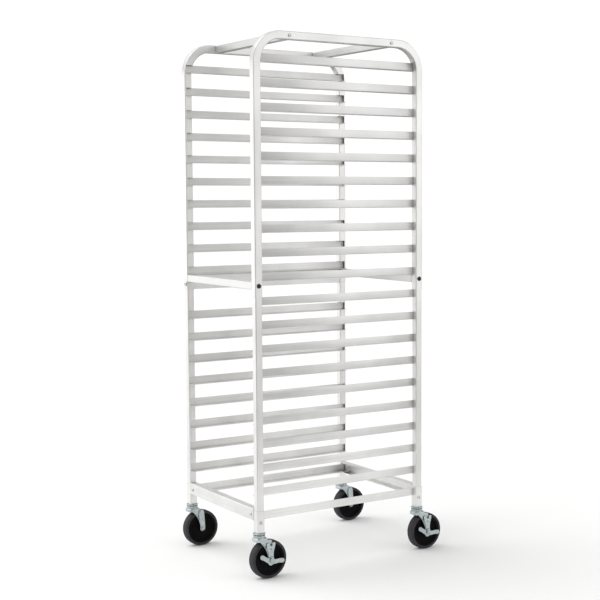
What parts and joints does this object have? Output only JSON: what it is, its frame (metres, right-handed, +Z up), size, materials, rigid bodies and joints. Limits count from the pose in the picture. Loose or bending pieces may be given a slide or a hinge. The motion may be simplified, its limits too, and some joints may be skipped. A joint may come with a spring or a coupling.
{
  "type": "sheet pan rack",
  "caption": "Tall end-loading aluminium tube rack with inward angle slides for sheet pans, bent top corners, cross bars and swivel casters with side brakes.",
  "frame": {"origin": "on the floor, midway between the four points where the wheels touch it, which is the middle of the box's bottom", "axes": "+Z up; pans slide in along +Y from the open face at -Y; +X is the loader's right, the side whose casters have brakes"},
  "size_m": [0.5516, 0.7606, 1.7695],
  "materials": {
    "frame_aluminium": "satin, brushed along the length",
    "slide_aluminium": "satin, mill finish",
    "bolt_dark": "black oxide, semi-gloss",
    "bolt_bright": "zinc plated",
    "caster_zinc": "bright zinc plate",
    "bearing_steel": "polished",
    "wheel_black": "moulded, satin",
    "tread_rubber": "matte",
    "expander_rubber": "matte"
  },
  "bodies": {
    "frame": {"left_front_upper_post": "frame_aluminium", "left_front_lower_post": "frame_aluminium", "left_rear_upper_post": "frame_aluminium", "left_rear_lower_post": "frame_aluminium", "right_front_upper_post": "frame_aluminium", "right_front_lower_post": "frame_aluminium", "right_rear_upper_post": "frame_aluminium", "right_rear_lower_post": "frame_aluminium", "base_sleeves": "frame_aluminium", "top_splice_plugs": "frame_aluminium", "base_corner_brackets": "frame_aluminium", "top_cross_bar_front": "frame_aluminium", "top_cross_bar_rear": "frame_aluminium", "mid_cross_bar_front": "frame_aluminium", "mid_cross_bar_rear": "frame_aluminium", "base_cross_bar_front": "frame_aluminium", "base_cross_bar_rear": "frame_aluminium", "left_mid_brace": "frame_aluminium", "left_top_rail": "frame_aluminium", "left_upper_slides": "slide_aluminium", "left_lower_slides": "slide_aluminium", "left_base_rail": "slide_aluminium", "right_top_rail": "frame_aluminium", "right_upper_slides": "slide_aluminium", "right_lower_slides": "slide_aluminium", "right_base_rail": "slide_aluminium", "post_joint_bolts": "bolt_dark", "top_bar_bolts": "bolt_bright", "left_brace_bolts": "bolt_bright", "base_bar_bolts": "bolt_bright", "caster_stem_bolts": "bolt_bright", "caster_stems": "caster_zinc", "stem_expanders": "expander_rubber", "swivel_cups": "caster_zinc", "swivel_balls": "bearing_steel"},
    "left_front_swivel": {"left_front_fork": "caster_zinc", "left_front_axle_bolt": "caster_zinc"},
    "left_front_wheel": {"left_front_wheel_hub": "wheel_black", "left_front_wheel_tread": "tread_rubber", "left_front_wheel_bush": "bearing_steel"},
    "left_rear_swivel": {"left_rear_fork": "caster_zinc", "left_rear_axle_bolt": "caster_zinc"},
    "left_rear_wheel": {"left_rear_wheel_hub": "wheel_black", "left_rear_wheel_tread": "tread_rubber", "left_rear_wheel_bush": "bearing_steel"},
    "right_front_swivel": {"right_front_fork": "caster_zinc", "right_front_axle_bolt": "caster_zinc", "right_front_brake_plate": "caster_zinc"},
    "right_front_wheel": {"right_front_wheel_hub": "wheel_black", "right_front_wheel_tread": "tread_rubber", "right_front_wheel_bush": "bearing_steel"},
    "right_front_brake": {"right_front_brake_lever": "caster_zinc"},
    "right_rear_swivel": {"right_rear_fork": "caster_zinc", "right_rear_axle_bolt": "caster_zinc", "right_rear_brake_plate": "caster_zinc"},
    "right_rear_wheel": {"right_rear_wheel_hub": "wheel_black", "right_rear_wheel_tread": "tread_rubber", "right_rear_wheel_bush": "bearing_steel"},
    "right_rear_brake": {"right_rear_brake_lever": "caster_zinc"}
  },
  "joints": [
    {"name": "left_front_swivel_turn", "type": "hinge", "parent": "frame", "child": "left_front_swivel", "pos_m": [-0.24382, -0.34785, 0.1481], "axis": [0, 0, 1], "continuous": true},
    {"name": "left_front_wheel_spin", "type": "hinge", "parent": "left_front_swivel", "child": "left_front_wheel", "pos_m": [-0.24382, -0.31685, 0.0635], "axis": [1, 0, 0], "continuous": true},
    {"name": "left_rear_swivel_turn", "type": "hinge", "parent": "frame", "child": "left_rear_swivel", "pos_m": [-0.24382, 0.28585, 0.1481], "axis": [0, 0, 1], "continuous": true},
    {"name": "left_rear_wheel_spin", "type": "hinge", "parent": "left_rear_swivel", "child": "left_rear_wheel", "pos_m": [-0.24382, 0.31685, 0.0635], "axis": [1, 0, 0], "continuous": true},
    {"name": "right_front_swivel_turn", "type": "hinge", "parent": "frame", "child": "right_front_swivel", "pos_m": [0.24382, -0.34785, 0.1481], "axis": [0, 0, 1], "continuous": true},
    {"name": "right_front_wheel_spin", "type": "hinge", "parent": "right_front_swivel", "child": "right_front_wheel", "pos_m": [0.24382, -0.31685, 0.0635], "axis": [1, 0, 0], "continuous": true},
    {"name": "right_front_brake_turn", "type": "hinge", "parent": "right_front_swivel", "child": "right_front_brake", "pos_m": [0.26843, -0.31685, 0.0635], "axis": [1, 0, 0], "range_deg": [0, 30]},
    {"name": "right_rear_swivel_turn", "type": "hinge", "parent": "frame", "child": "right_rear_swivel", "pos_m": [0.24382, 0.28585, 0.1481], "axis": [0, 0, 1], "continuous": true},
    {"name": "right_rear_wheel_spin", "type": "hinge", "parent": "right_rear_swivel", "child": "right_rear_wheel", "pos_m": [0.24382, 0.31685, 0.0635], "axis": [1, 0, 0], "continuous": true},
    {"name": "right_rear_brake_turn", "type": "hinge", "parent": "right_rear_swivel", "child": "right_rear_brake", "pos_m": [0.26843, 0.31685, 0.0635], "axis": [1, 0, 0], "range_deg": [0, 30]}
  ]
}
